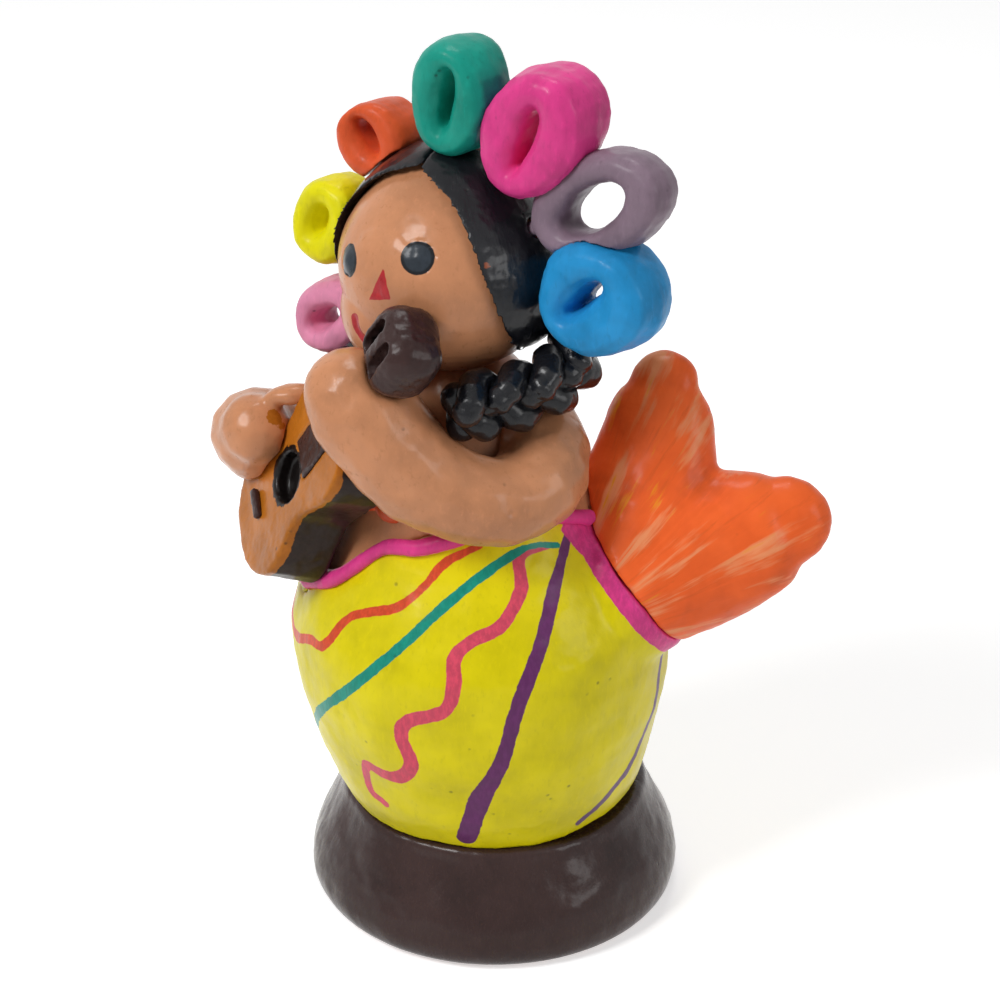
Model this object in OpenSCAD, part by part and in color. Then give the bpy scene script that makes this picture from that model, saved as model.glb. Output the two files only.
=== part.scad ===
// Hand-modelled clay mermaid playing a guitar, with a crown of ribbon loops.
// Millimetres. +Z is up, the figure faces -Y and its left hand is towards +X.
// The origin is the centre of the flat underside of the plinth.

/* [Plinth] */
// Widest radius of the plinth
plinth_r = 33; // [29:0.5:40]
// Height of the seat that the body stands on
plinth_h = 20.5; // [17:0.5:25]
// Radius of the flat seat
seat_r = 26.4; // [23:0.2:28]

/* [Joints between pieces] */
// Gap left for slip between two pieces that fit together
slip_gap = 0.15; // [0.05:0.05:0.4]
// Radius of the round foot under the body
foot_r = 11; // [8:0.5:14]
// Depth of the socket for that foot
foot_depth = 9; // [6:0.5:12]
// Radius of the plug under the torso
waist_plug_r = 7.5; // [6:0.5:9]
// Length of the plug under the torso
waist_plug_l = 5; // [4:0.5:6]
// Radius of the neck
neck_r = 6; // [5:0.25:7.5]
// Depth of the neck socket in the head
neck_depth = 7; // [5:0.5:10]
// Radius of the tenon on the tail fin
tenon_r = 6; // [4:0.5:7]
// Length of the tenon on the tail fin
tenon_l = 8; // [5:0.5:9]
// Radius of the root of each ribbon loop
root_r = 1.8; // [1.2:0.1:2.2]

/* [Body] */
// Widest radius of the round body
belly_r = 33; // [29:0.5:38]
// Thickness of the clay under the hollow
wall = 5; // [4:0.25:8]
// Radius of the vent hole through the plinth and the foot
vent_r = 1.5; // [1:0.25:1.75]
// Distance of the vent hole behind the centre
vent_back = 5.5; // [4:0.25:6]
// Height of the waist behind the spine
waist_z = 68; // [66:0.5:70]

/* [Tail] */
// Radius of the tail where the fin begins
tail_r = 13.8; // [12:0.2:15]
// Angle of the tail above level
tail_rise = 37; // [32:1:42]
// Angle of the tail back from the figure's left
tail_turn = 40; // [32:1:46]
// Length of the fin beyond the tail
fin_l = 35; // [28:0.5:42]
// Thickness of the lobes of the fin, as a share of their width
fin_flat = 0.66; // [0.5:0.02:0.9]

/* [Head] */
// Radius of the head
head_r = 18.4; // [16:0.2:20]
// Height of the centre of the head
head_z = 119.9; // [117:0.1:123]
// Thickness of the hair
hair_t = 1.6; // [1.2:0.1:2.4]
// Radius of a braid strand
strand_r = 1.85; // [1.5:0.05:1.95]
// Turns of each braid
braid_turns = 1.4; // [1:0.1:2]
// Thickness of the right braid as a share of the left one
right_braid = 0.6; // [0.5:0.05:0.7]

/* [Guitar] */
// Thickness of the guitar's body
guitar_t = 10; // [8:0.5:12]
// Half width of the lower bout
bout_r = 12; // [9:0.2:12]
// Radius of the sound hole
sound_r = 4.2; // [3:0.1:4.6]
// Depth of the sound hole
sound_depth = 2.5; // [1.5:0.25:5]
// Width of the fingerboard
board_w = 7.4; // [5.5:0.1:8]
// Length of the head of the guitar
peg_head = 12.5; // [10:0.5:14]

/* [Hidden] */
$fn = 48;

skin = "#c08a66";
brown = "#33211f";
black = "#16171c";
far = 60;

// ---------------------------------------------------------------- vectors
function unit(v) = v / norm(v);
function across(v, n) = unit(v - (v * n) * n);
function flip(list) = [for (i = [len(list) - 1:-1:0]) list[i]];
function mix(a, b, t) = a + (b - a) * t;

// Smooth curve through the points p, with the given number of steps from each one to the next.
function pick(p, i) = p[max(0, min(len(p) - 1, i))];
function blend(a, b, c, d, t) =
    0.5 * (2 * b + (c - a) * t + (2 * a - 5 * b + 4 * c - d) * t * t + (3 * b - a - 3 * c + d) * t * t * t);
function curve(p, steps) = concat(
    [for (i = [0:len(p) - 2], k = [0:steps - 1])
        blend(pick(p, i - 1), p[i], p[i + 1], pick(p, i + 2), k / steps)],
    [p[len(p) - 1]]);

// Puts its children in a frame: x along `along`, z on the side of `facing` that is square to it.
module in_frame(at, along, facing) {
    x = unit(along);
    z = across(facing, x);
    y = cross(z, x);
    multmatrix([[x[0], y[0], z[0], at[0]], [x[1], y[1], z[1], at[1]], [x[2], y[2], z[2], at[2]], [0, 0, 0, 1]])
        children();
}

// Stands its children's z axis along a direction.
module stand(at, up) {
    in_frame(at, cross([0, 1, 0], up), up) children();
}

// Joins soft modelled shapes into one closed skin.
module one_skin() resize([0, 0, 0]) children();

// ---------------------------------------------------------------- rolled coils of clay
// A coil is a list of [x, y, z, radius, flatness]. Its ends are rounded off.
function xyz(p) = [p[0], p[1], p[2]];
function heading(c, i) = unit(xyz(pick(c, i + 1)) - xyz(pick(c, i - 1)));
function ring(centre, dir, r, flat, sides, side_dir) =
    let (a = across(side_dir, dir), b = cross(dir, a))
    [for (k = [0:sides - 1]) centre + r * (flat * cos(360 * k / sides) * a + sin(360 * k / sides) * b)];
function end_ring(p, dir, turn, shift, sides, side_dir) =
    ring(xyz(p) + shift * p[3] * sin(turn) * dir, dir, p[3] * cos(turn), p[4], sides, side_dir);
function coil_rings(c, sides, side_dir) =
    let (last = len(c) - 1)
    concat(
        [for (k = [3:-1:1]) end_ring(c[0], heading(c, 0), 26 * k, -1, sides, side_dir)],
        [for (i = [0:last]) ring(xyz(c[i]), heading(c, i), c[i][3], c[i][4], sides, side_dir)],
        [for (k = [1:3]) end_ring(c[last], heading(c, last), 26 * k, 1, sides, side_dir)]);

// Closes the rings into a solid. A ring that repeats all the way round needs no ends.
module skin_over(rings, closed = false) {
    sides = len(rings[0]);
    count = len(rings);
    spans = closed ? count : count - 1;
    sheets = [for (i = [0:spans - 1], k = [0:sides - 1])
        let (j = (i + 1) % count, m = (k + 1) % sides)
        each [[i * sides + k, j * sides + k, j * sides + m], [i * sides + k, j * sides + m, i * sides + m]]];
    caps = closed ? [] : [[for (k = [0:sides - 1]) k], [for (k = [sides - 1:-1:0]) (count - 1) * sides + k]];
    polyhedron(points = [for (r = rings, p = r) p], faces = concat(sheets, caps));
}

module coil(points, steps = 3, sides = 12, side_dir = [0.2, 0.3, 0.93]) {
    full = [for (p = points) concat(xyz(p), [p[3]], [p[4] == undef ? 1 : p[4]])];
    skin_over(coil_rings(curve(full, steps), sides, side_dir));
}

// The same coil, fatter all round, used to cut room for it.
function grown(points, extra) = [for (p = points) concat(xyz(p), [p[3] + extra])];

// ---------------------------------------------------------------- the trunk
// The spine runs from the seat to the centre of the head, and the trunk is turned about it.
seat = [0, 0, plinth_h];
head_at = [-4.9, -5.5, head_z];
spine = unit(head_at - seat);
spine_l = norm(head_at - seat);
trunk_l = 83;

module on_spine(up = 0) stand(seat + up * spine, spine) children();

// Outline of the trunk: [height above the seat, radius as a share of the belly].
TRUNK = [
    [0, 0.775], [6, 0.85], [12, 0.9], [18, 0.945], [25, 0.98], [32, 0.99], [37, 0.98], [42, 0.915],
    [47, 0.82], [52, 0.725], [57, 0.64], [63, 0.555], [69, 0.47], [74, 0.4], [79, 0.31], [trunk_l, 0.21]
];
trunk_curve = curve(TRUNK, 2);

// The trunk, or with some extra the room needed to keep clear of it.
module trunk(extra = 0) {
    outline = [for (p = trunk_curve) [p[1] * belly_r + extra, p[0]]];
    rotate_extrude() polygon(concat([[0, 0]], outline, [[0, trunk_l]]));
}

function trunk_radius(h) = belly_r * lookup(h, TRUNK);

// The waist is where the yellow body stops. It climbs to the left in front and is near level behind.
front_slope = [0.752, -0.593];
back_slope = [0.3, 0.05];
function front_waist(p) = waist_z - 5.25 + front_slope[0] * p[0] + front_slope[1] * p[1];
function back_waist(p) = waist_z + back_slope[0] * p[0] + back_slope[1] * p[1];

module above_slope(z, slope) {
    stand([0, 0, z], [-slope[0], -slope[1], 1]) cylinder(h = 2 * far, r = 2 * far);
}

module above_waist() {
    intersection() {
        above_slope(waist_z - 5.25, front_slope);
        above_slope(waist_z, back_slope);
    }
}

// A point on the skin of the trunk, and the height at which the waist passes it.
spine_side = unit(cross([0, 1, 0], spine));
spine_front = cross(spine, spine_side);
function out_dir(a) = cos(a) * spine_side + sin(a) * spine_front;
function on_trunk(h, a, extra = 0) = seat + h * spine + (trunk_radius(h) + extra) * out_dir(a);
function waist_at(a, low = 30, high = 75, n = 12) =
    let (h = (low + high) / 2, p = on_trunk(h, a))
    n == 0 ? h : p[2] > max(front_waist(p), back_waist(p)) ? waist_at(a, low, h, n - 1) : waist_at(a, h, high, n - 1);

tail_dir = [cos(tail_rise) * cos(tail_turn), cos(tail_rise) * sin(tail_turn), sin(tail_rise)];
tail_end = [23.7, 8, 64.5];

module on_tail(facing = [0.4, -0.86, 0.33]) in_frame(tail_end, tail_dir, facing) children();

// The root of the tail, thick where it leaves the body.
module tail_root(extra = 0) {
    r = tail_r + extra;
    stand(tail_end, tail_dir)
        rotate_extrude()
            polygon([[0, extra], [r, extra], [r + 0.3, -5], [r + 1.4, -10], [r + 3.6, -16], [r + 5.6, -23], [r + 2, -31], [0, -38]]);
}

// The straight way out from the end of the tail, which the fin fills.
module fin_way(extra = 0) {
    stand(tail_end + 0.01 * tail_dir, tail_dir) cylinder(h = far, r = tail_r + extra);
}

// ---------------------------------------------------------------- pieces of the body
module plinth() {
    r = plinth_r;
    h = plinth_h;
    color(brown)
        difference() {
            rotate_extrude()
                polygon([[0, 0], [r - 2.6, 0], [r - 0.9, 0.9], [r - 0.2, 2.6], [r, 4.6], [r - 0.5, 7.4], [r - 1.6, 10.4],
                    [r - 3.1, 13.4], [r - 4.6, 16.2], [r - 5.6, 18.4], [seat_r + 0.5, h - 0.4], [seat_r, h], [0, h]]);
            translate([0, 0, h - foot_depth]) cylinder(h = foot_depth + 1, r = foot_r);
            translate([0, vent_back, -1]) cylinder(h = h, r = vent_r);
        }
}

module body() {
    color("#ece50c")
        difference() {
            union() {
                difference() {
                    on_spine() trunk();
                    above_waist();
                    translate([0, 0, plinth_h - far]) cylinder(h = far, r = far);
                    fin_way(slip_gap);
                }
                tail_root();
                translate([0, 0, plinth_h - foot_depth + slip_gap]) cylinder(h = foot_depth + 2, r = foot_r - slip_gap);
            }
            on_spine() body_room();
            translate([0, vent_back, 1]) cylinder(h = plinth_h + wall + 3, r = vent_r);
            on_spine(waist_z - plinth_h - waist_plug_l) cylinder(h = far, r = waist_plug_r);
            stand(tail_end - tenon_l * tail_dir, tail_dir) cylinder(h = tenon_l + 1, r = tenon_r);
        }
}

// The hollow inside the body, closed over well below the waist.
module body_room() {
    rotate_extrude()
        polygon([[0, wall], [17, wall + 1], [22, wall + 6], [belly_r - 7, 17], [belly_r - 6, 23], [22, 31], [14, 36], [0, 38]]);
}

module torso() {
    color(skin)
        difference() {
            union() {
                intersection() {
                    on_spine() trunk();
                    above_waist();
                }
                on_spine(waist_z - plinth_h - waist_plug_l + slip_gap)
                    cylinder(h = waist_plug_l + 6, r = waist_plug_r - slip_gap);
                on_spine(trunk_l - 12)
                    cylinder(h = spine_l - trunk_l + 12 - head_r + neck_depth - slip_gap, r = neck_r - slip_gap);
            }
            tail_root(slip_gap);
            fin_way(slip_gap);
        }
}

// A thin coil laid along the waist.
trim_r = 1.15;
trim_rings = [for (a = [0:6:354])
    let (p = on_trunk(waist_at(a), a, 0.35),
        q = on_trunk(waist_at(a + 3), a + 3, 0.35),
        wave = 1 + 0.14 * sin(5 * a))
    ring(p, unit(q - p), trim_r * wave, 1, 8, spine)];

module waist_trim() {
    color("#d8307c")
        one_skin() difference() {
            skin_over(trim_rings, closed = true);
            on_spine() trunk(0.12);
            tail_root(0.12);
            on_tail() fin_lobes(slip_gap);
            on_guitar() guitar_solid(slip_gap);
        }
}

// Lobes of the fin: [along, down, radius, how far it is flattened], the first three as shares of the fin's length.
LOBE_UP = [[0, 0, 0.394, 0], [0.2, -0.2, 0.385, 0.5], [0.4, -0.4, 0.315, 1], [0.53, -0.54, 0.265, 1], [0.6, -0.615, 0.225, 1], [0.645, -0.665, 0.17, 1]];
LOBE_OUT = [[0, 0, 0.394, 0], [0.25, 0.06, 0.395, 0.5], [0.48, 0.13, 0.36, 1], [0.6, 0.165, 0.32, 1], [0.69, 0.19, 0.28, 1], [0.745, 0.205, 0.225, 1]];

module lobe(points, extra) {
    coil([for (p = points) [p[0] * fin_l, -p[1] * fin_l, 0, p[2] * fin_l + extra, mix(1, fin_flat, p[3])]],
        steps = 3, sides = 20, side_dir = [0, 0, 1]);
}

module fin_lobes(extra = 0) {
    lobe(LOBE_UP, extra);
    lobe(LOBE_OUT, extra);
}

module tail_fin() {
    color("#f2622a")
        one_skin() {
            difference() {
                on_tail() fin_lobes();
                difference() {
                    on_spine() trunk(slip_gap);
                    fin_way(-0.02);
                }
                on_tail() translate([-far, -far / 2, -far / 2]) cube([far + 0.02, far, far]);
            }
            on_tail() rotate([0, -90, 0]) translate([0, 0, -1])
                cylinder(h = tenon_l + 1 - slip_gap, r = tenon_r - slip_gap);
        }
}

// ---------------------------------------------------------------- head and hair
face_turn = -6;

// Outline of the head, widest at the cheeks: [height, radius] as shares of its radius.
HEAD = [[-1, 0], [-0.95, 0.34], [-0.82, 0.6], [-0.6, 0.82], [-0.3, 0.96], [0, 1], [0.25, 0.945],
    [0.5, 0.8], [0.7, 0.62], [0.86, 0.42], [0.96, 0.22], [1, 0]];

// The head, or with some extra the hair round it.
module head_shape(extra = 0) {
    r = head_r + extra;
    translate(head_at) rotate_extrude() polygon([for (p = curve(HEAD, 3)) [max(0, p[1] * r), p[0] * r]]);
}

// The heavy jaw, low on the figure's right.
jaw_r = 11;

module jaw(extra = 0) {
    translate(head_at + [-4, -6.3, -7.6]) sphere(r = jaw_r + extra);
}

function head_radius(rise) = head_r * norm([lookup(sin(rise) * 0.95, HEAD), sin(rise) * 0.95]);

// Stands its children on the head, z outward, at an angle round from the front and an angle up.
module on_face(turn, rise) {
    translate(head_at) rotate([0, 0, turn]) rotate([90 - rise, 0, 0]) translate([0, 0, head_radius(rise)]) children();
}

module head() {
    color(skin)
        difference() {
            union() {
                head_shape();
                jaw();
            }
            on_spine() trunk(slip_gap);
            on_spine(spine_l - head_r - 4) cylinder(h = 4 + neck_depth, r = neck_r);
            face_marks();
            root_sockets();
        }
}

// Rings and a groove pressed into the soft clay of the face.
mark_depth = 0.55;

module face_marks() {
    for (eye = [[-28, 8.5], [19, 21]])
        on_face(eye[0], eye[1]) translate([0, 0, -mark_depth - 0.2]) difference() {
            cylinder(h = 3, r = 2.9);
            translate([0, 0, -1]) cylinder(h = 5, r = 2.3);
        }
    on_face(-5, 4) translate([0, 0, -mark_depth]) linear_extrude(height = 2)
        polygon([[0.4, 3], [-2.1, -2.4], [2, -2.2]]);
}

// The open face, from the parting down to the jaw, as shares of the head's radius.
FACE = [[0, 0.965], [0.3, 0.85], [0.5, 0.72], [0.7, 0.52], [0.84, 0.3], [0.94, 0.05], [0.975, -0.25], [0.9, -0.62], [0.6, -1.2]];

module open_face() {
    half = curve(FACE, 2);
    right = [for (p = flip(half)) if (p[0] > 0) [-p[0], p[1]]];
    translate(head_at) rotate([0, 0, face_turn]) rotate([90, 0, 0])
        linear_extrude(height = far) polygon(head_r * concat(half, right));
}

module hair_piece(side) {
    color(black)
        difference() {
            head_shape(hair_t);
            head_shape();
            jaw();
            open_face();
            translate(head_at) rotate([0, 0, face_turn]) {
                translate([side > 0 ? -far : 0, -far / 2, -far / 2]) cube([far, far, far]);
                translate([-far / 2, -far / 2, -far - 0.62 * head_r]) cube([far, far, far]);
            }
            root_sockets();
        }
}

// Braid centrelines, from behind the ear round to the chest.
BRAID_LEFT = [[15, 3, 107.2], [16.6, -2, 105], [16.2, -7, 103.6], [13.6, -12.2, 102.6], [10.6, -17, 102.4], [8.6, -20.6, 101.6]];
BRAID_RIGHT = [[-19.5, 3.5, 106], [-18.4, -1.5, 100.2], [-18.8, -7.5, 98.8], [-18.4, -13, 99.8], [-17.6, -16.5, 101.5]];

// The middle of one strand, in a braid of the given share of the full thickness.
function strand_points(line, k, share, extra = 0) =
    let (path = curve(line, 4), last = len(path) - 1)
    [for (i = [0:last])
        let (dir = unit(pick(path, i + 1) - pick(path, i - 1)),
            side = across([0.2, -0.3, 0.9], dir),
            out = cross(dir, side),
            a = 360 * braid_turns * i / last + 120 * k,
            weave = 1.95 * sin(a) * side + 1.2 * sin(2 * a) * out)
        concat(path[i] + share * strand_r * weave, [share * strand_r + extra, 1])];

module strand_skin(line, k, share, extra = 0) {
    skin_over(coil_rings(strand_points(line, k, share, extra), extra > 0 ? 6 : 9, [0.3, 0.1, 0.93]));
}

// A strand gives way to the ones laid over it.
module braid_strand(line, k, share = 1) {
    color(black)
        one_skin() difference() {
            strand_skin(line, k, share);
            for (over = [k + 1:1:3]) strand_skin(line, over, share, 2.2 * share * slip_gap);
            head_shape(hair_t + slip_gap);
            jaw(slip_gap);
            on_spine() trunk(slip_gap);
            coil(grown(ARM_LEFT, slip_gap));
            coil(grown(ARM_RIGHT, slip_gap));
        }
}

// ---------------------------------------------------------------- crown of ribbon loops
// [name, colour, place round the head, lean back, middle from the head's centre, length, width, depth,
//  hole length, hole width, hole turn, hole shift outwards]
LOOPS = [
    ["loop_pink", "#e08fae", 214, 6, 26.3, 17, 13, 10.5, 6, 1.8, 0, 1],
    ["loop_yellow", "#e6df10", 177, 6, 23.6, 14, 15.5, 10.5, 5, 2.2, 70, 1],
    ["loop_orange", "#dd5a33", 131, 6, 22.3, 14, 14, 10.5, 6, 2.4, 0, 1.2],
    ["loop_green", "#149481", 85, 0, 28.3, 19, 15.5, 11.5, 10, 2, -6, 0.5],
    ["loop_magenta", "#dc3f88", 55, 2, 30.8, 23.5, 18, 13, 11, 1.6, 14, -0.5],
    ["loop_mauve", "#83707c", 28, 5, 32.8, 25.5, 16.5, 9, 13.5, 6, 14, -0.5],
    ["loop_blue", "#2593cf", 2, 3, 30.3, 21, 19, 12.5, 9, 1.6, 45, -1.5]
];
root_from = 12.8;

module at_loop(l) {
    translate(head_at) rotate([-l[3], 0, 0]) rotate([0, -l[2], 0]) children();
}

module root_sockets() {
    for (l = LOOPS)
        at_loop(l) translate([root_from, 0, 0]) rotate([0, 90, 0]) cylinder(h = far, r = root_r);
}

// A thick loop: x runs out from the root, z across it, and y from front to back.
function loop_rings(l, extra = 0) = [for (a = [0:14.4:345.7])
    let (outer = [l[4] + (l[5] / 2 + extra) * cos(a), (l[6] / 2 + extra) * sin(a)],
        b = a - l[10],
        c = [(l[8] / 2 - extra) * cos(b), (l[9] / 2 - extra) * sin(b)],
        inner = [l[4] + l[11] + c[0] * cos(l[10]) - c[1] * sin(l[10]), c[0] * sin(l[10]) + c[1] * cos(l[10])])
    [for (k = [0:11])
        let (t = 0.5 + 0.5 * cos(30 * k),
            m = mix(inner, outer, t),
            y = (l[7] / 2 + extra) * sign(sin(30 * k)) * pow(abs(sin(30 * k)), 0.55))
        [m[0], y, m[1]]]];

// A loop gives way to the next one round the head.
module loop_piece(l) {
    after = [for (other = LOOPS) if (other[2] < l[2] && other[2] > l[2] - 50) other];
    color(l[1])
        one_skin() {
            difference() {
                at_loop(l) skin_over(loop_rings(l), closed = true);
                head_shape(hair_t + slip_gap);
                jaw(slip_gap);
                for (other = after) at_loop(other) skin_over(loop_rings(other, slip_gap), closed = true);
            }
            at_loop(l) translate([root_from + slip_gap, 0, 0]) rotate([0, 90, 0])
                cylinder(h = l[4] + l[11] - l[8] / 2 - 0.6 - root_from, r = root_r - slip_gap, $fn = 16);
        }
}

// ---------------------------------------------------------------- arms
ARM_LEFT = [[10, -3, 91, 8.5], [15.5, -8, 88, 8.2], [14, -16.5, 85.3, 7.7], [5.8, -23.5, 88.6, 8], [-1.2, -27.6, 96, 8.9],
    [-5.2, -29.2, 101.8, 8.9], [-6.6, -29.6, 103.8, 8]];
ARM_RIGHT = [[-12, -2, 88, 8.2], [-24, -4, 82, 8], [-32.5, -9, 79.5, 8], [-35.5, -16, 82, 8.3], [-33.5, -22, 86.5, 8.3],
    [-31, -25, 89, 6.5]];

module arm_left() {
    color(skin)
        one_skin() difference() {
            coil(ARM_LEFT);
            on_spine() trunk(slip_gap);
            tail_root(slip_gap);
            skin_over(trim_room, closed = true);
            on_guitar() guitar_room();
            on_guitar() head_solid(slip_gap);
        }
}

trim_room = [for (a = [0:6:354])
    let (p = on_trunk(waist_at(a), a, 0.35), q = on_trunk(waist_at(a + 3), a + 3, 0.35))
    ring(p, unit(q - p), trim_r * 1.3, 1, 8, spine)];

module arm_right() {
    color(skin)
        one_skin() difference() {
            coil(ARM_RIGHT);
            on_spine() trunk(slip_gap);
            skin_over(trim_room, closed = true);
            on_guitar() guitar_room();
        }
}

// Small pressed-on shells of the top: [place, radius].
SHELLS = [["shell_left", [-4.8, -21.6, 81.2], 3.3], ["shell_right", [-12.6, -19.4, 81.6], 3.3]];

module shell(name) {
    s = [for (each_shell = SHELLS) if (each_shell[0] == name) each_shell][0];
    color("#dd4a33")
        one_skin() difference() {
            in_frame(s[1], [0.2, 0.5, 1], [0, -1, 0.3]) scale([1, 1.1, 0.7]) sphere(r = s[2], $fn = 24);
            on_spine() trunk(0.12);
            on_guitar() guitar_room();
            coil(grown(ARM_LEFT, slip_gap));
        }
}

// ---------------------------------------------------------------- guitar
// The guitar's frame: x along the neck, z out of the soundboard.
guitar_at = [-27.2, -28.5, 76.9];
neck_dir = [0.6, -0.04, 0.8];
board_dir = [-0.5, -0.8, 0.33];
guitar_l = 30;
neck_l = 15;
neck_thick = 3.2;
neck_in = 4;
head_from = guitar_l + neck_l - 5;

module on_guitar() in_frame(guitar_at, neck_dir, board_dir) children();

// Half outline of the guitar's body: [along, half width as a share of the lower bout].
GUITAR = [[-10.5, 0], [-9.6, 0.4], [-6.5, 0.78], [-1.5, 1], [4, 0.9], [9.5, 0.73], [14, 0.8], [20, 0.95], [25, 0.86], [28.6, 0.5], [guitar_l, 0.28]];

module guitar_solid(extra = 0) {
    half = curve(GUITAR, 2);
    outline = [for (p = half) [p[0], p[1] * bout_r]];
    other = [for (p = flip(half)) [p[0], -p[1] * bout_r]];
    translate([0, 0, -guitar_t - extra]) linear_extrude(height = guitar_t + 2 * extra)
        polygon(concat(outline, other));
}

module neck_solid(extra = 0) {
    translate([guitar_l - neck_in - extra, 0, -neck_thick - board_t])
        rotate([0, 90, 0]) cylinder(h = neck_l + neck_in + extra, r = neck_thick + extra);
}

board_t = 0.8;
board_from = 14.5;
board_to = 38;

module board_solid(extra = 0) {
    translate([board_from - extra, -board_w / 2 - extra, -board_t - extra])
        cube([board_to - board_from + 2 * extra, board_w + 2 * extra, board_t + 2 * extra]);
}

bridge_at = [-2.2, 1.5];
module bridge_solid() translate([bridge_at[0], bridge_at[1] - 2.6, 0]) cube([1.4, 5.2, 1]);

module head_solid(extra = 0) {
    r = 4.2;
    hull()
        for (x = [head_from + r, head_from + peg_head - r], y = [-1, 1], z = [-1, 1])
            translate([x, y * (peg_head / 2 - r * 0.9), z * 1.0 - 3.4]) sphere(r = r + extra, $fn = 20);
}

// Everything of the guitar that an arm or a shell keeps clear of.
module guitar_room() {
    guitar_solid(slip_gap);
    neck_solid(slip_gap);
    board_solid(slip_gap);
    translate([0, 0, 0.2]) bridge_solid();
}

module guitar_body() {
    color("#a5681a")
        on_guitar() difference() {
            guitar_solid();
            neck_solid(slip_gap);
            board_solid(0.05);
            translate([9.5, 0, -sound_depth]) cylinder(h = sound_depth + 1, r = sound_r);
        }
}

module guitar_fingerboard() color(brown) on_guitar() board_solid();

module guitar_neck() {
    color(brown)
        on_guitar() difference() {
            neck_solid();
            translate([head_from, -far / 2, -far / 2]) cube([far, far, far]);
            board_solid(0.05);
        }
}

module guitar_head() {
    color(brown)
        one_skin() difference() {
            on_guitar() difference() {
                head_solid();
                translate([head_from - 2, -far / 2, -far / 2]) cube([2.13, far, far]);
                for (y = [-2.3, 2.3])
                    hull() for (x = [3.6, peg_head - 4])
                        translate([head_from + x, y, 1.5]) sphere(r = 1.43, $fn = 12);
            }
            head_shape(slip_gap);
            jaw(slip_gap);
        }
}

module guitar_bridge() color(brown) on_guitar() bridge_solid();

// ---------------------------------------------------------------- the figure
plinth();
body();
torso();
waist_trim();
tail_fin();
head();
hair_piece(1);  // hair_left
hair_piece(-1);  // hair_right
for (k = [1:3]) {
    braid_strand(BRAID_LEFT, k);
    braid_strand(BRAID_RIGHT, k, right_braid);
}
for (l = LOOPS)
    loop_piece(l);
arm_left();
arm_right();
for (s = SHELLS)
    shell(s[0]);
guitar_body();
guitar_fingerboard();
guitar_neck();
guitar_head();
guitar_bridge();
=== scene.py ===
"""Looks of a hand-modelled clay mermaid with a guitar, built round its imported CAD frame."""

import math

import bmesh
import bpy
import numpy as np
from bpy.props import FloatProperty, FloatVectorProperty, IntProperty, PointerProperty
from mathutils import Matrix, Vector, noise
from mathutils.bvhtree import BVHTree


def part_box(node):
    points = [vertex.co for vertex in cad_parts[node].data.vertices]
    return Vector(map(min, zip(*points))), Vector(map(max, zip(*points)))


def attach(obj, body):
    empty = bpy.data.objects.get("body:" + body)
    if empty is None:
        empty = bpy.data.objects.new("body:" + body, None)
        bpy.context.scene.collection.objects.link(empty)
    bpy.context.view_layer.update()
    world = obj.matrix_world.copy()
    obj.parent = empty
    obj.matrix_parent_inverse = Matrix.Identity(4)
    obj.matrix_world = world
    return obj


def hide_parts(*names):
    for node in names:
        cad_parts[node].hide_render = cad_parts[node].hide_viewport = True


bl_info = {
    "name": "Clay mermaid",
    "version": (1, 0, 0),
    "blender": (4, 5, 0),
    "location": "3D View > Sidebar > Clay mermaid",
    "description": "Hand-modelled and painted clay mermaid on its CAD frame",
    "category": "Object",
}

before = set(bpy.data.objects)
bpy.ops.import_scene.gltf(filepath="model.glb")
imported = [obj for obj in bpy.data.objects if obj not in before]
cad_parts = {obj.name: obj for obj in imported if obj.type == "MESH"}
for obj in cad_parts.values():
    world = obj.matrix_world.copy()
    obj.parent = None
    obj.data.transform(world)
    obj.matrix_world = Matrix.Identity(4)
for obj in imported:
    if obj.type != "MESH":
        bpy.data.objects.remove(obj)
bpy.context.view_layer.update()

MM = 0.001
BARE_CLAY = "#8a4426"
ROOT = "root"
# Corners of a node's mesh nearer than this are one corner.
WELD = 0.004 * MM
UP = Vector((0, 0, 1))


# ------------------------------------------------------------------ colours
def linear(code):
    """A screen colour such as #ece50c as linear values."""
    parts = [int(code[i : i + 2], 16) / 255 for i in (1, 3, 5)]
    return [c / 12.92 if c <= 0.04045 else ((c + 0.055) / 1.055) ** 2.4 for c in parts]


# ------------------------------------------------------------------ settings
def length_setting(name, description, size):
    """A length setting, its default given in millimetres."""
    return FloatProperty(name=name, description=description, default=size * MM, unit="LENGTH")


def paint_setting(name, description, code):
    """A colour setting, its default given as a screen colour."""
    return FloatVectorProperty(
        name=name, description=description, subtype="COLOR", min=0, max=1, default=linear(code))


class MermaidSettings(bpy.types.PropertyGroup):
    """Sizes a maker would change, in metres."""

    unevenness: length_setting("Unevenness", "How far the fingers left the clay from a true form", 0.45)
    finger_size: length_setting("Finger size", "Width of the dents that the fingers left", 9)
    line_width: length_setting("Brush line", "Width of a painted line", 1.9)
    tail_band: length_setting("Tail band", "Width of the painted band where the tail fin begins", 3.1)
    braid_fullness: length_setting("Braid fullness", "How much thicker a strand is than its core", 0.85)
    seed: IntProperty(name="Seed", description="Chooses one set of finger marks", default=7)


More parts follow.
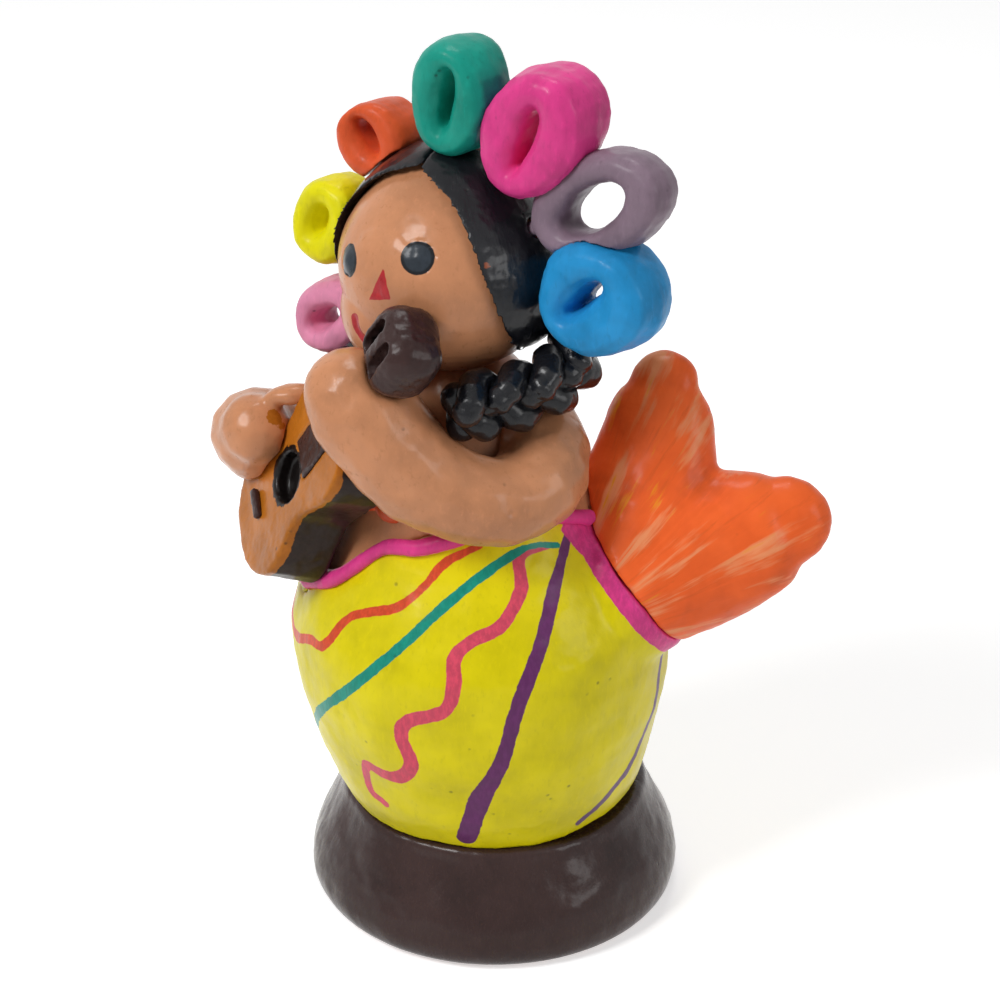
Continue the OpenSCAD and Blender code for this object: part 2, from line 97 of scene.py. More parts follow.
class MermaidColours(bpy.types.PropertyGroup):
    """Colours of the paints."""

    yellow: paint_setting("Body yellow", "Lemon yellow of the body", "#e2d303")
    tan: paint_setting("Skin", "Tan of the face, the arms and the torso", "#c98a62")
    plinth_brown: paint_setting("Plinth brown", "Dark brown of the plinth and the guitar's neck", "#352220")
    hair_black: paint_setting("Hair black", "Black of the hair and the braids", "#0f1015")
    fin_orange: paint_setting("Fin orange", "Orange of the tail fin", "#f2642a")
    magenta: paint_setting("Magenta", "Magenta of a loop, the waist coil and the tail band", "#dd3f8a")
    pink: paint_setting("Pink", "Pale pink of a loop", "#e28fb0")
    lemon: paint_setting("Lemon", "Yellow of a loop", "#e2da0c")
    red_orange: paint_setting("Red-orange", "Red-orange of a loop and the shells", "#dd5a30")
    green: paint_setting("Sea green", "Green of a loop and a body line", "#149280")
    mauve: paint_setting("Mauve", "Mauve of a loop", "#84707e")
    blue: paint_setting("Sky blue", "Blue of a loop", "#2690cc")
    ochre: paint_setting("Ochre", "Ochre of the guitar", "#b2691b")
    lip_red: paint_setting("Red", "Red of the nose and the mouth", "#b3282e")


def settings():
    return bpy.context.scene.clay_mermaid


def colours():
    return bpy.context.scene.clay_mermaid_colours


def tinted(colour, amount):
    """A lighter colour for an amount above 1, or a darker one below it."""
    lift = max(0, amount - 1) * 0.012
    return [min(1, c * amount + lift) for c in colour]


# ------------------------------------------------------------------ worked clay
def new_piece(name, mesh):
    obj = bpy.data.objects.new(name, mesh)
    bpy.context.scene.collection.objects.link(obj)
    return obj


def baked(obj):
    """Turns an object's modifiers into its mesh."""
    graph = bpy.context.evaluated_depsgraph_get()
    mesh = bpy.data.meshes.new_from_object(obj.evaluated_get(graph))
    old = obj.data
    obj.modifiers.clear()
    obj.data = mesh
    bpy.data.meshes.remove(old)


def clay_skin(name, nodes, voxel, smooth, extra=()):
    """One soft closed skin over CAD nodes, with any extra lumps worked into it."""
    bm = bmesh.new()
    for node in nodes:
        bm.from_mesh(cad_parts[node].data)
    bmesh.ops.remove_doubles(bm, verts=bm.verts, dist=WELD)
    for add_lump in extra:
        add_lump(bm)
    mesh = bpy.data.meshes.new(name)
    bm.to_mesh(mesh)
    bm.free()
    obj = new_piece(name, mesh)
    remesh = obj.modifiers.new("clay", "REMESH")
    remesh.mode = "VOXEL"
    remesh.voxel_size = voxel
    soften = obj.modifiers.new("soften", "SMOOTH")
    soften.factor = 0.5
    soften.iterations = smooth
    baked(obj)
    for poly in obj.data.polygons:
        poly.use_smooth = True
    obj.data.materials.clear()
    return obj


def points_of(obj):
    co = np.empty(len(obj.data.vertices) * 3)
    obj.data.vertices.foreach_get("co", co)
    return co.reshape(-1, 3)


def normals_of(obj):
    no = np.empty(len(obj.data.vertices) * 3)
    obj.data.vertices.foreach_get("normal", no)
    return no.reshape(-1, 3)


def put_points(obj, co):
    obj.data.vertices.foreach_set("co", co.reshape(-1))
    obj.data.update()


def waves(co, size, seed):
    """Smooth random heights between about -1 and 1, one for each point."""
    shift = Vector((seed * 3.1, seed * 1.7, seed * 2.3))
    return np.array([noise.noise(Vector(p) / size + shift) for p in co])


def work_surface(obj, seed, amount=1.0, fine=0.05 * MM, floor=None):
    """Leaves finger dents and small tool marks on a piece, and none under a flat foot."""
    s = settings()
    co, no = points_of(obj), normals_of(obj)
    broad = waves(co, s.finger_size, s.seed + seed) * s.unevenness * amount
    medium = waves(co, s.finger_size * 0.33, s.seed + seed + 50) * s.unevenness * 0.28 * amount
    small = waves(co, 1.1 * MM, s.seed + seed + 90) * fine
    move = broad + medium + small
    if floor is not None:
        move *= np.clip((co[:, 2] - floor) / (3 * MM), 0, 1)
    put_points(obj, co + no * move[:, None])


def press(obj, spots):
    """Raises or dents the skin at spots: (place in mm, radius in mm, height in mm)."""
    co, no = points_of(obj), normals_of(obj)
    move = np.zeros(len(co))
    for place, radius, height in spots:
        gap = np.linalg.norm(co - np.array(place) * MM, axis=1) / (radius * MM)
        move += height * MM * np.exp(-(gap**2) * 1.5)
    put_points(obj, co + no * move[:, None])


def score(obj, lines):
    """Draws a rounded tool along lines on the skin: (points in mm, half width in mm, height in mm)."""
    co, no = points_of(obj), normals_of(obj)
    move = np.zeros(len(co))
    for points, half, height in lines:
        line = spaced(np.array(points) * MM)
        gap = distance_to_line(co, line, np.zeros(len(line))) / (half * MM)
        move += height * MM * np.exp(-(gap**2) * 1.5)
    put_points(obj, co + no * move[:, None])


def lump(place, size, along=(0, 0, 1)):
    """Work for clay_skin's extra: an egg of clay pressed on, place and size in mm, its length along a direction."""
    turn = Vector(along).to_track_quat("Z", "Y").to_matrix().to_4x4()
    egg = Matrix.Diagonal((size[0] * MM, size[1] * MM, size[2] * MM, 1))
    spot = Matrix.Translation(Vector(place) * MM) @ turn @ egg
    return lambda bm: bmesh.ops.create_uvsphere(bm, u_segments=20, v_segments=14, radius=1, matrix=spot)


def swell(obj, amount):
    """Moves the whole skin outwards."""
    put_points(obj, points_of(obj) + normals_of(obj) * amount)


def keep_mark(obj, name, values):
    """Stores a number at each point for the paint to read."""
    attr = obj.data.attributes.new(name, "FLOAT", "POINT")
    attr.data.foreach_set("value", np.asarray(values, dtype=np.float32))


def keep_grain(obj, vectors):
    """Stores the brush's own coordinates, long along a stroke, for the paint to read."""
    attr = obj.data.attributes.new("grain", "FLOAT_VECTOR", "POINT")
    attr.data.foreach_set("vector", np.asarray(vectors, dtype=np.float32).reshape(-1))


def spaced(points, steps=8):
    """A smooth line through points."""
    p = np.array(points, dtype=float)
    p = np.vstack([2 * p[0] - p[1], p, 2 * p[-1] - p[-2]])
    out = []
    for i in range(1, len(p) - 2):
        for k in range(steps):
            t = k / steps
            a, b, c, d = p[i - 1], p[i], p[i + 1], p[i + 2]
            out.append(
                0.5 * (2 * b + (c - a) * t + (2 * a - 5 * b + 4 * c - d) * t**2 + (3 * b - a - 3 * c + d) * t**3)
            )
    out.append(p[-2])
    return np.array(out)


def distance_to_line(co, line, widths):
    """Distance from each point to a line, less the line's half width there."""
    best = np.full(len(co), 1.0)
    for i in range(len(line) - 1):
        a, b = line[i], line[i + 1]
        ab = b - a
        t = np.clip(((co - a) @ ab) / max(ab @ ab, 1e-12), 0, 1)
        gap = np.linalg.norm(co - (a + t[:, None] * ab), axis=1)
        half = (widths[i] + (widths[i + 1] - widths[i]) * t) / 2
        best = np.minimum(best, gap - half)
    return best


# ------------------------------------------------------------------ paint
def node_of(tree, kind, links=()):
    """Adds a shader node and links others into its inputs, by name or number."""
    n = tree.nodes.new(kind)
    for target, source in links:
        tree.links.new(source, n.inputs[target])
    return n


def mapped(tree, scale):
    place = node_of(tree, "ShaderNodeTexCoord")
    grid = node_of(tree, "ShaderNodeMapping", [("Vector", place.outputs["Object"])])
    grid.inputs["Scale"].default_value = scale
    return grid.outputs["Vector"]


def ramp(tree, source, low, high, invert=False):
    n = node_of(tree, "ShaderNodeMapRange", [("Value", source)])
    n.interpolation_type = "SMOOTHSTEP"
    n.inputs["From Min"].default_value = low
    n.inputs["From Max"].default_value = high
    n.inputs["To Min"].default_value = 1.0 if invert else 0.0
    n.inputs["To Max"].default_value = 0.0 if invert else 1.0
    return n.outputs["Result"]


def colour_sockets(n):
    return [i for i in n.inputs if i.type == "RGBA"]


def mix_colours(tree, factor, a, b):
    n = tree.nodes.new("ShaderNodeMix")
    n.data_type = "RGBA"
    tree.links.new(factor, n.inputs[0])
    for socket, value in zip(colour_sockets(n), (a, b)):
        if isinstance(value, str):
            socket.default_value = linear(value) + [1]
        elif isinstance(value, (list, tuple)):
            socket.default_value = list(value) + [1]
        else:
            tree.links.new(value, socket)
    return [o for o in n.outputs if o.type == "RGBA"][0]


def sums(tree, operation, a, b):
    n = tree.nodes.new("ShaderNodeMath")
    n.operation = operation
    for socket, value in zip(n.inputs, (a, b)):
        if isinstance(value, (int, float)):
            socket.default_value = value
        else:
            tree.links.new(value, socket)
    return n.outputs[0]


def cloud(tree, vector, scale, detail=3.0, rough=0.55):
    n = node_of(tree, "ShaderNodeTexNoise", [("Vector", vector)])
    n.inputs["Scale"].default_value = scale
    n.inputs["Detail"].default_value = detail
    n.inputs["Roughness"].default_value = rough
    return n.outputs["Fac"]


def mark(tree, name, output="Fac"):
    n = tree.nodes.new("ShaderNodeAttribute")
    n.attribute_name = name
    return n.outputs[output]


# The thin varnish over the paint, and the paint's own faint shine.
VARNISH_ROUGHNESS = 0.16
VARNISH_IOR = 1.3
PAINT_SHEEN = 0.12


def painted_clay(
    name,
    colour,
    rough=0.34,
    coat=0.35,
    contrast=1.0,
    streak=(260, 260, 90),
    grain=False,
    flecks=(),
    patches=(),
    bare_amount=0.0,
    relief=0.12,
):
    """Acrylic paint brushed on fired clay and varnished: streaks of the brush, pits with painted shade in them and
    small bare spots.

    patches are (mark, colour, edge in metres, waver in metres): paint where the mark is below zero.
    flecks are (colour, share of the strokes, size of the pattern per metre): a second paint left in streaks.
    """
    mat = bpy.data.materials.new(name)
    mat.use_nodes = True
    tree = mat.node_tree
    shader = tree.nodes["Principled BSDF"]
    colour = linear(colour) if isinstance(colour, str) else list(colour)
    light, dark = tinted(colour, 1 + 0.28 * contrast), tinted(colour, 1 - 0.3 * contrast)
    flat = mapped(tree, (1, 1, 1))
    brush = mark(tree, "grain", "Vector") if grain else mapped(tree, streak)
    broad = cloud(tree, flat, 90, 3)
    strokes = cloud(tree, brush, 4.5, 6, 0.65)
    # Thin and thick paint: broad patches of the lighter and darker shade, then brush streaks.
    base = mix_colours(tree, ramp(tree, broad, 0.42, 0.66), colour, light)
    base = mix_colours(tree, ramp(tree, broad, 0.46, 0.28), base, dark)
    base = mix_colours(tree, sums(tree, "MULTIPLY", ramp(tree, strokes, 0.5, 0.72), 0.55), base, light)
    base = mix_colours(tree, sums(tree, "MULTIPLY", ramp(tree, strokes, 0.46, 0.3), 0.45), base, dark)
    for i, (paint, share, size) in enumerate(flecks):
        wash = cloud(tree, brush, size, 5, 0.6)
        wash = sums(tree, "ADD", wash, sums(tree, "MULTIPLY", cloud(tree, flat, 70 + 40 * i, 2), 0.5))
        base = mix_colours(tree, ramp(tree, wash, 0.95 - share, 1.1 - share), base, paint)
    if patches:
        waver = sums(tree, "SUBTRACT", cloud(tree, flat, 700, 4, 0.6), 0.5)
        slow = sums(tree, "SUBTRACT", cloud(tree, flat, 210, 2, 0.5), 0.5)
        for mark_name, paint, edge, shake in patches:
            d = sums(tree, "ADD", mark(tree, mark_name), sums(tree, "MULTIPLY", waver, shake))
            d = sums(tree, "ADD", d, sums(tree, "MULTIPLY", slow, shake * 1.2))
            cover = ramp(tree, d, -edge, edge, invert=True)
            paint = linear(paint) if isinstance(paint, str) else list(paint)
            shade = mix_colours(tree, ramp(tree, strokes, 0.35, 0.7), tinted(paint, 0.86), tinted(paint, 1.14))
            base = mix_colours(tree, cover, base, shade)
    if bare_amount:
        # Fired clay showing where the brush missed, mostly in the hollows of the grain.
        spots = cloud(tree, flat, 420, 5, 0.7)
        base = mix_colours(tree, ramp(tree, spots, 0.74 - bare_amount, 0.79 - bare_amount), base, BARE_CLAY)
    # Painted shade in the small pits: dark dots where the pits are dented in.
    speck = node_of(tree, "ShaderNodeTexVoronoi", [("Vector", flat)])
    speck.inputs["Scale"].default_value = 330
    thin_out = cloud(tree, flat, 160, 2)
    dot = ramp(tree, speck.outputs["Distance"], 0.04, 0.16, invert=True)
    pit = sums(tree, "MULTIPLY", dot, ramp(tree, thin_out, 0.55, 0.72))
    base = mix_colours(tree, sums(tree, "MULTIPLY", pit, 0.75), base, "#1d1210")
    tree.links.new(base, shader.inputs["Base Color"])
    tree.links.new(
        sums(tree, "ADD", sums(tree, "MULTIPLY", strokes, 0.22), rough - 0.11), shader.inputs["Roughness"]
    )
    shader.inputs["Coat Weight"].default_value = coat
    shader.inputs["Coat Roughness"].default_value = VARNISH_ROUGHNESS
    shader.inputs["Coat IOR"].default_value = VARNISH_IOR
    shader.inputs["Specular IOR Level"].default_value = PAINT_SHEEN
    fine = cloud(tree, flat, 1500, 4, 0.6)
    lumps = cloud(tree, flat, 420, 3, 0.5)
    height = sums(tree, "ADD", sums(tree, "MULTIPLY", fine, 0.25), sums(tree, "MULTIPLY", strokes, 0.55))
    height = sums(tree, "ADD", height, sums(tree, "MULTIPLY", lumps, 0.8))
    height = sums(tree, "SUBTRACT", height, sums(tree, "MULTIPLY", pit, 1.05))
    bump = node_of(tree, "ShaderNodeBump", [("Height", height)])
    bump.inputs["Strength"].default_value = 0.55
    bump.inputs["Distance"].default_value = relief * MM
    tree.links.new(bump.outputs["Normal"], shader.inputs["Normal"])
    return mat


def give(obj, material, nodes):
    """Puts a finish on a piece, stands it for its CAD nodes and lets it ride with the figure."""
    obj.data.materials.clear()
    obj.data.materials.append(material)
    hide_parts(*nodes)
    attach(obj, ROOT)


# ------------------------------------------------------------------ places on the figure
def corner(node, which):
    return Vector(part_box(node)[which])


def middle(node):
    low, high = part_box(node)
    return (Vector(low) + Vector(high)) / 2


def surface_tree(obj):
    return BVHTree.FromObject(obj, bpy.context.evaluated_depsgraph_get())


def on_body(tree, turn, height):
    """The point of the body's skin at an angle round from the front and a height above its seat."""
    a = math.radians(turn)
    z = corner("plinth", 1).z + height * MM
    start = Vector((math.sin(a) * 0.09, -math.cos(a) * 0.09, z))
    hit = tree.ray_cast(start, Vector((-math.sin(a), math.cos(a), 0)), 0.12)
    if hit[0] is None:
        raise RuntimeError("no skin at turn %s, height %s" % (turn, height))
    return np.array(hit[0])


# Painted lines: name, then (turn round the body in degrees, height above the seat in mm, width share).
LINES = {
    "red_line": [(30, 57, 0.6), (17, 54.4, 0.8), (9, 49.8, 0.8), (2, 46.5, 0.9), (-10, 44, 0.8), (-15, 41.8, 0.8),
                 (-20, 36.6, 0.9), (-28, 35.4, 0.9), (-41, 32.5, 1), (-54, 36, 0.8), (-66, 31, 0.8)],
    "teal_line": [(66, 55, 0.5), (51, 55.9, 0.6), (33, 53.1, 0.9), (18, 47.8, 0.9), (7, 41.3, 1), (-7, 32.3, 1),
                  (-28, 20.4, 1), (-44, 11, 0.9), (-56, 5, 0.9)],
    "pink_line": [(61, 55.5, 0.6), (47, 54.8, 1), (46, 50.2, 1.2), (38, 45.5, 1.2), (29, 43.5, 1.2), (24, 40.8, 1.2),
                  (24.5, 36.7, 1.3), (22, 32.2, 1.3), (11, 28.8, 1.3), (8.5, 25.4, 1.3), (11, 19.9, 1.4), (6, 15.9, 1.4),
                  (-1, 15.5, 1.4), (-7, 15.6, 1.1), (-9, 9.5, 1), (-3, 7.5, 0.9)],
    "purple_line": [(74, 56, 0.8), (59, 49.4, 1.2), (51, 42.4, 1.3), (43, 33.3, 1.4), (38, 21.4, 1.5), (32, 14, 1.9),
                    (26, 3.4, 1.8)],
    "violet_line": [(104, 30, 0.8), (101, 22, 0.9), (94, 13.2, 0.9), (81, 7.3, 0.9), (69, 3.3, 0.8)],
}


def worn_line(tree_of_skin, points):
    line = np.array([on_body(tree_of_skin, t, h) for t, h, w in points])
    widths = np.array([[w, 0, 0] for t, h, w in points])
    return spaced(line), spaced(widths)[:, 0] * settings().line_width


def tail_axis():
    """Where the tail fin meets the body, and the way it points: the widest flat of the fin is its root."""
    flats = {}
    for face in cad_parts["tail_fin"].data.polygons:
        plane = tuple(round(x, 2) for x in face.normal) + (round(face.normal.dot(face.center) / MM, 1),)
        area, spot, way = flats.get(plane, (0.0, Vector(), Vector()))
        flats[plane] = (area + face.area, spot + face.center * face.area, way + face.normal * face.area)
    area, spot, way = max(flats.values(), key=lambda flat: flat[0])
    return spot / area, -way.normalized()


def guitar_places(co):
    """Points in the guitar's own directions, in metres: along the neck, across it, and out of the soundboard."""
    pts = np.array([v.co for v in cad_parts["guitar_fingerboard"].data.vertices])
    mid = (pts.min(axis=0) + pts.max(axis=0)) / 2
    along, across, out = np.linalg.svd(pts - mid, full_matrices=False)[2]
    along = along if along[2] > 0 else -along
    out = out if out[1] < 0 else -out
    across = np.cross(out, along)
    length = np.ptp(pts @ along)
    return np.stack([(co - mid) @ along + length / 2, (co - mid) @ across, (co - mid) @ out], axis=1)


# Degrees round the waist from one point of the coil's middle line to the next.
COIL_STEP = 5


def coil_line():
    """The middle of the waist coil, from its CAD ring, one point for each step round."""
    pts = np.array([v.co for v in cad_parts["waist_trim"].data.vertices])
    mid = np.array(middle("waist_trim"))
    turn = np.degrees(np.arctan2(pts[:, 0] - mid[0], mid[1] - pts[:, 1]))
    line = []
    for a in range(-180, 181, COIL_STEP):
        near = np.abs((turn - a + 180) % 360 - 180) < COIL_STEP
        line.append(pts[near].mean(axis=0))
    return np.array(line)


# Beyond this distance a point is only above or below the coil.
COIL_REACH = 9 * MM
# How far the coil wanders from its even line: (degrees round from the front, mm up).
COIL_WAVE = [(-180, 0), (-60, 1), (-45, 2.6), (-34, 3), (-26, 1.2), (-15, -1.5), (-6, -1.2), (2, 0.6), (11, 0.6),
             (17, -1.3), (24, -1.8), (31, -1.6), (45, -0.8), (60, 0), (180, 0)]


def coil_wave(turns):
    at, up = zip(*COIL_WAVE)
    return sum(np.interp(turns + shift, at, up) for shift in (-5, -2.5, 0, 2.5, 5)) / 5 * MM


def wandering(co):
    """The moves that shift points with the coil as it wanders up and down the shoulder."""
    mid = np.array(middle("waist_trim"))
    turn = np.arctan2(co[:, 0] - mid[0], mid[1] - co[:, 1])
    up = coil_wave(np.degrees(turn))
    return np.stack([-0.45 * np.sin(turn) * up, 0.45 * np.cos(turn) * up, 0.9 * up], axis=1)


def above_coil(co):
    """Height of each point above the wandering coil, or its sign alone far from the coil."""
    line = coil_line()
    line = line + wandering(line)
    best = np.full(len(co), 1.0)
    height = np.zeros(len(co))
    for p in line:
        gap = np.linalg.norm(co - p, axis=1)
        closer = gap < best
        best[closer] = gap[closer]
        height[closer] = co[closer, 2] - p[2]
    far_off = np.where(co[:, 2] > line[:, 2].max(), 1, np.sign(height))
    return np.where(best < COIL_REACH, height, far_off)


# The tail band stays within this distance of the tail's axis.
BAND_REACH = 20 * MM


class MERMAID_OT_trunk(bpy.types.Operator):
    """Models the plinth, the yellow body, the torso and the coil round the waist"""

    bl_idname = "clay_mermaid.trunk"
    bl_label = "Plinth, body and torso"

    def execute(self, context):
        tints = colours()
        plinth = clay_skin("plinth_worked", ["plinth"], 0.6 * MM, 5)
        work_surface(plinth, 1, 0.9, floor=0.4 * MM)
        co = points_of(plinth)
        co[:, 2] = np.maximum(co[:, 2], 0)
        put_points(plinth, co)
        keep_mark(plinth, "underside", co[:, 2] - 0.5 * MM)
        # Dark brown gloss paint, with the bare foot rubbed back to fired clay.
        give(plinth, painted_clay(
            "dark_brown_gloss", tints.plinth_brown, rough=0.26, coat=0.5, relief=0.2, contrast=0.9,
            patches=[("underside", BARE_CLAY, 0.3 * MM, 0.6 * MM)]), ["plinth"])

        body = clay_skin("body_worked", ["body"], 0.62 * MM, 6)
        work_surface(body, 2, 1.0)
        skin = surface_tree(body)
        co = points_of(body)
        for name, points in LINES.items():
            line, widths = worn_line(skin, points)
            keep_mark(body, name, distance_to_line(co, line, widths))
        root, axis = tail_axis()
        along = (co - np.array(root)) @ np.array(axis)
        across = np.linalg.norm(co - np.array(root) - along[:, None] * np.array(axis), axis=1)
        keep_mark(body, "tail_band", np.maximum(-settings().tail_band - along, across - BAND_REACH))
        keep_mark(body, "bare_shoulder", -above_coil(co))
        edge, shake = 0.08 * MM, 0.5 * MM
        # Lemon yellow paint with the figure's painted lines over it.
        give(body, painted_clay(
            "lemon_yellow_gloss", tints.yellow, rough=0.36, coat=0.3, contrast=0.45,
            patches=[
                ("red_line", "#dc4e2c", edge, shake),
                ("violet_line", "#6a4a72", edge, shake),
                ("purple_line", "#6a2e66", edge, shake),
                ("pink_line", "#dd4f68", edge, shake),
                ("teal_line", tints.green, edge, shake),
                ("tail_band", tints.magenta, edge, shake),
                ("bare_shoulder", tints.tan, edge, shake),
            ]), ["body"])

        torso = clay_skin("torso_worked", ["torso"], 0.5 * MM, 5)
        work_surface(torso, 3, 0.6)
        keep_mark(torso, "yellow_overlap", above_coil(points_of(torso)))
        give(torso, painted_clay(
            "tan_torso_gloss", tints.tan, rough=0.32, coat=0.4, relief=0.12, contrast=0.5, bare_amount=0.01,
            patches=[("yellow_overlap", tints.yellow, edge, shake)]), ["torso"])

        # The coil ends in two small pressed lumps beside the tail.
        trim = clay_skin("waist_coil", ["waist_trim"], 0.28 * MM, 16, [
            lump((15.2, -13.2, 81.2), (1.7, 1.4, 2.6), (0.8, 0.5, 0.1)),
            lump((17.9, -8.3, 81.6), (1.9, 1.6, 2.8), (0.4, 0.9, 0.1))])
        co = points_of(trim)
        put_points(trim, co + wandering(co))
        swell(trim, 0.4 * MM)
        work_surface(trim, 4, 0.6)
        give(trim, magenta_paint(), ["waist_trim"])
        return {"FINISHED"}


def made_once(name, *args, **more):
    """A finish shared by several pieces."""
    return bpy.data.materials.get(name) or painted_clay(name, *args, **more)


def skin_paint():
    """Soft tan paint of the arms."""
    return made_once(
        "tan_skin_gloss", colours().tan, rough=0.3, coat=0.45, contrast=0.5, bare_amount=0.005, relief=0.1,
        streak=(200, 200, 120))


def magenta_paint():
    return made_once("magenta_gloss", colours().magenta, rough=0.38, coat=0.25, contrast=0.7)


def brown_paint():
    return made_once("dark_brown_satin", colours().plinth_brown, rough=0.3, coat=0.35, relief=0.25)


def hair_paint():
    """Black gloss paint laid on thick over scored hair."""
    return made_once(
        "black_hair_gloss", colours().hair_black, rough=0.2, coat=0.7, relief=0.34, contrast=1.2,
        streak=(420, 420, 110))


# The way from one lobe of the fin to the other, and how far behind the root its brush strokes fan out from.
FIN_SPREAD = Vector((0.86, 0.4, -0.3))
FAN_ROOT = 18 * MM


class MERMAID_OT_tail(bpy.types.Operator):
    """Models the forked tail fin"""

    bl_idname = "clay_mermaid.tail"
    bl_label = "Tail fin"

    def execute(self, context):
        fin = clay_skin("tail_fin_worked", ["tail_fin"], 0.5 * MM, 22)
        work_surface(fin, 5, 1.2)
        root, axis = tail_axis()
        side = (FIN_SPREAD - FIN_SPREAD.dot(axis) * axis).normalized()
        off = points_of(fin) - np.array(root)
        along, across = off @ np.array(axis), off @ np.array(side)
        turn = np.arctan2(across, along + FAN_ROOT)
        reach = np.hypot(across, along + FAN_ROOT)
        thick = off @ np.array(axis.cross(side))
        keep_grain(fin, np.stack([turn * 7, reach * 14, thick * 45], axis=1))
        # Orange brushed wet over yellow, so that streaks of coral and yellow show.
        orange = painted_clay(
            "orange_streaked_gloss", colours().fin_orange, rough=0.4, coat=0.25, relief=0.24, contrast=0.7, grain=True,
            flecks=[("#f79a68", 0.16, 1.6), ("#f39a1c", 0.06, 3.2)])
        give(fin, orange, ["tail_fin"])
        return {"FINISHED"}


# The face: (degrees round from the front, degrees up).
EYES = [(-28, 8.5), (19, 21)]
NOSE = [(0.5, 13.5), (-7.8, -5.8), (6.3, -2.2)]
# The filling behind the nose: its middle as the face's own degrees, half its size in mm, and how far out it comes.
NOSE_MIDDLE = (-5, 4)
NOSE_FILL = (9, 9, 4.4, 18.2)
MOUTH = [(-21.5, -20.5), (-20, -24.5), (-16, -28.2), (-10.4, -30.6), (-4, -28), (3, -21.5), (8, -14.5), (12, -10)]
# In mm: the eye, its black rim round the painted sheen of its middle, the radius and height of its dome; the mouth's
# stroke, and the groove under it.
EYE_RADIUS = 2.75
EYE_RIM = 0.55
EYE_DOME = (1.9, 0.45)
MOUTH_WIDTH = 1.9
MOUTH_GROOVE = (0.7, -0.35)


def head_centre():
    low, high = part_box("head")
    radius = (high[0] - low[0]) / 2
    return Vector(((low[0] + high[0]) / 2, (low[1] + high[1]) / 2, high[2] - radius))


def facing(turn, rise):
    t, r = math.radians(turn), math.radians(rise)
    return Vector((math.sin(t) * math.cos(r), -math.cos(t) * math.cos(r), math.sin(r)))


def on_head(tree, turn, rise):
    way = facing(turn, rise)
    return np.array(tree.ray_cast(head_centre() + way * 40 * MM, -way, 40 * MM)[0])


def triangle_distance(co, corners):
    """Distance outside a small triangle on a skin, less than zero inside it."""
    a, b, c = corners
    normal = np.cross(b - a, c - a)
    normal /= np.linalg.norm(normal)
    mid = (a + b + c) / 3
    out = np.full(len(co), -1.0)
    for p, q in ((a, b), (b, c), (c, a)):
        edge = np.cross(q - p, normal)
        edge /= np.linalg.norm(edge)
        edge *= -np.sign(edge @ (mid - p))
        out = np.maximum(out, (co - p) @ edge)
    return np.maximum(out, np.linalg.norm(co - mid, axis=1) - 5 * MM)


class MERMAID_OT_head(bpy.types.Operator):
    """Models the doll's head with its pressed and painted face"""

    bl_idname = "clay_mermaid.head"
    bl_label = "Head and face"

    def execute(self, context):
        # The triangle of the nose is painted flush: the clay below it is filled.
        under_nose = head_centre() / MM + facing(*NOSE_MIDDLE) * (NOSE_FILL[3] - NOSE_FILL[2])
        head = clay_skin("head_worked", ["head"], 0.34 * MM, 2, [
            lump(under_nose, NOSE_FILL[:3], facing(*NOSE_MIDDLE))])
        work_surface(head, 6, 0.45, fine=0.03 * MM)
        skin = surface_tree(head)
        co = points_of(head)
        eyes = [on_head(skin, *place) for place in EYES]
        gap = np.min([np.linalg.norm(co - eye, axis=1) for eye in eyes], axis=0)
        keep_mark(head, "eye", gap - EYE_RADIUS * MM)
        # The lighter slate middle of each black eye is a painted sheen on its dome.
        keep_mark(head, "pupil", gap - (EYE_RADIUS - EYE_RIM) * MM)
        keep_mark(head, "nose", triangle_distance(co, [on_head(skin, *place) for place in NOSE]))
        lips = spaced(np.array([on_head(skin, *place) for place in MOUTH]))
        keep_mark(head, "mouth", distance_to_line(co, lips, np.full(len(lips), MOUTH_WIDTH * MM)))
        # The eyes stand up as small domes in their rings, and the mouth is drawn in.
        press(head, [(eye / MM,) + EYE_DOME for eye in eyes])
        score(head, [(lips[::8] / MM,) + MOUTH_GROOVE])
        edge, shake = 0.07 * MM, 0.35 * MM
        give(head, painted_clay(
            "tan_face_gloss", colours().tan, rough=0.3, coat=0.45, relief=0.08, contrast=0.45, streak=(200, 200, 120),
            bare_amount=0.003,
            patches=[
                ("nose", colours().lip_red, edge, shake),
                ("mouth", colours().lip_red, edge, shake * 2),
                ("eye", "#14161a", edge, shake),
                # painted sheen on the dome of each black eye
                ("pupil", "#2c333b", edge * 3, shake),
            ]), ["head"])
        return {"FINISHED"}


# Fired clay showing through the hair: degrees round and up on the head, radius in mm.
WORN_HAIR = [(116, 77, 1.3), (101, 8, 1.4), (44, 43, 0.9), (55, 18, 0.7)]


